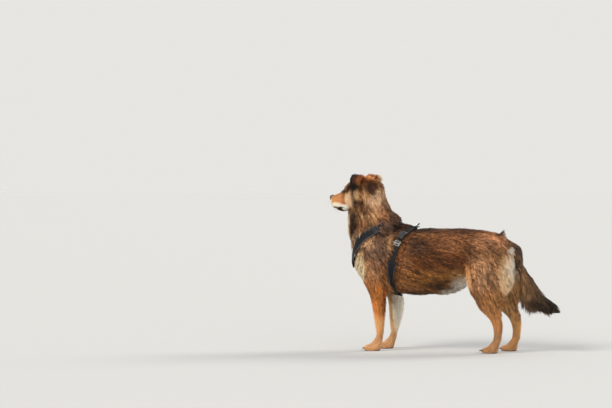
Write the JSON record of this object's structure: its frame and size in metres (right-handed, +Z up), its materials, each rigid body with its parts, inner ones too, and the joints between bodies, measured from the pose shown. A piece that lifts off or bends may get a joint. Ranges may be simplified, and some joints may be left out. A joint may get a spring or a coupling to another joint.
{
  "type": "standing dog with harness",
  "caption": "Life-size still model of a standing long-coated dog with folded ears and a low plumed tail, head turned aside, wearing a webbing walking harness.",
  "frame": {"origin": "on the floor, under the middle of the dog's box", "axes": "+Z up, -X the way the trunk faces, -Y the dog's left side; the head is turned 24 degrees to the dog's right"},
  "size_m": [1.1472, 0.2658, 0.8497],
  "materials": {
    "coat_red_brown": "long soft coat, red-brown with dark tips",
    "coat_dark": "long soft coat, dark brown",
    "coat_orange": "short coat, tan to orange",
    "coat_tail": "long plumed coat, brown with a black end",
    "eye_brown": "wet, dark brown",
    "nose_leather": "moist, pebbled",
    "claw_horn": "satin horn",
    "webbing": "woven nylon webbing, black",
    "buckle_plastic": "moulded, black",
    "ring_steel": "polished steel"
  },
  "bodies": {
    "root": {"breast_patch": "webbing", "buckle_left": "buckle_plastic", "buckle_right": "buckle_plastic", "chest_strap": "webbing", "claw_fore_left_1": "claw_horn", "claw_fore_left_2": "claw_horn", "claw_fore_left_3": "claw_horn", "claw_fore_left_4": "claw_horn", "claw_fore_right_1": "claw_horn", "claw_fore_right_2": "claw_horn", "claw_fore_right_3": "claw_horn", "claw_fore_right_4": "claw_horn", "claw_hind_left_1": "claw_horn", "claw_hind_left_2": "claw_horn", "claw_hind_left_3": "claw_horn", "claw_hind_left_4": "claw_horn", "claw_hind_right_1": "claw_horn", "claw_hind_right_2": "claw_horn", "claw_hind_right_3": "claw_horn", "claw_hind_right_4": "claw_horn", "ear_left": "coat_dark", "ear_right": "coat_dark", "eye_left": "eye_brown", "eye_right": "eye_brown", "forearm_left": "coat_orange", "forearm_right": "coat_orange", "forepaw_left": "coat_orange", "forepaw_right": "coat_orange", "girth_pad_left": "webbing", "girth_pad_right": "webbing", "girth_slider_left": "buckle_plastic", "girth_slider_right": "buckle_plastic", "girth_strap_left": "webbing", "girth_strap_right": "webbing", "head": "coat_orange", "hind_foot_left": "coat_orange", "hind_foot_right": "coat_orange", "lead_ring": "ring_steel", "lower_jaw": "coat_orange", "lower_leg_left": "coat_orange", "lower_leg_right": "coat_orange", "neck": "coat_dark", "neck_slider_left": "buckle_plastic", "neck_slider_right": "buckle_plastic", "neck_strap_left": "webbing", "neck_strap_right": "webbing", "nose": "nose_leather", "ring_patch": "webbing", "spine_strap": "webbing", "sternum_patch": "webbing", "tail_middle": "coat_tail", "tail_root": "coat_tail", "tail_tip": "coat_tail", "thigh_left": "coat_red_brown", "thigh_right": "coat_red_brown", "trunk": "coat_red_brown", "upper_arm_left": "coat_red_brown", "upper_arm_right": "coat_red_brown", "withers_patch": "webbing"}
  },
  "joints": []
}
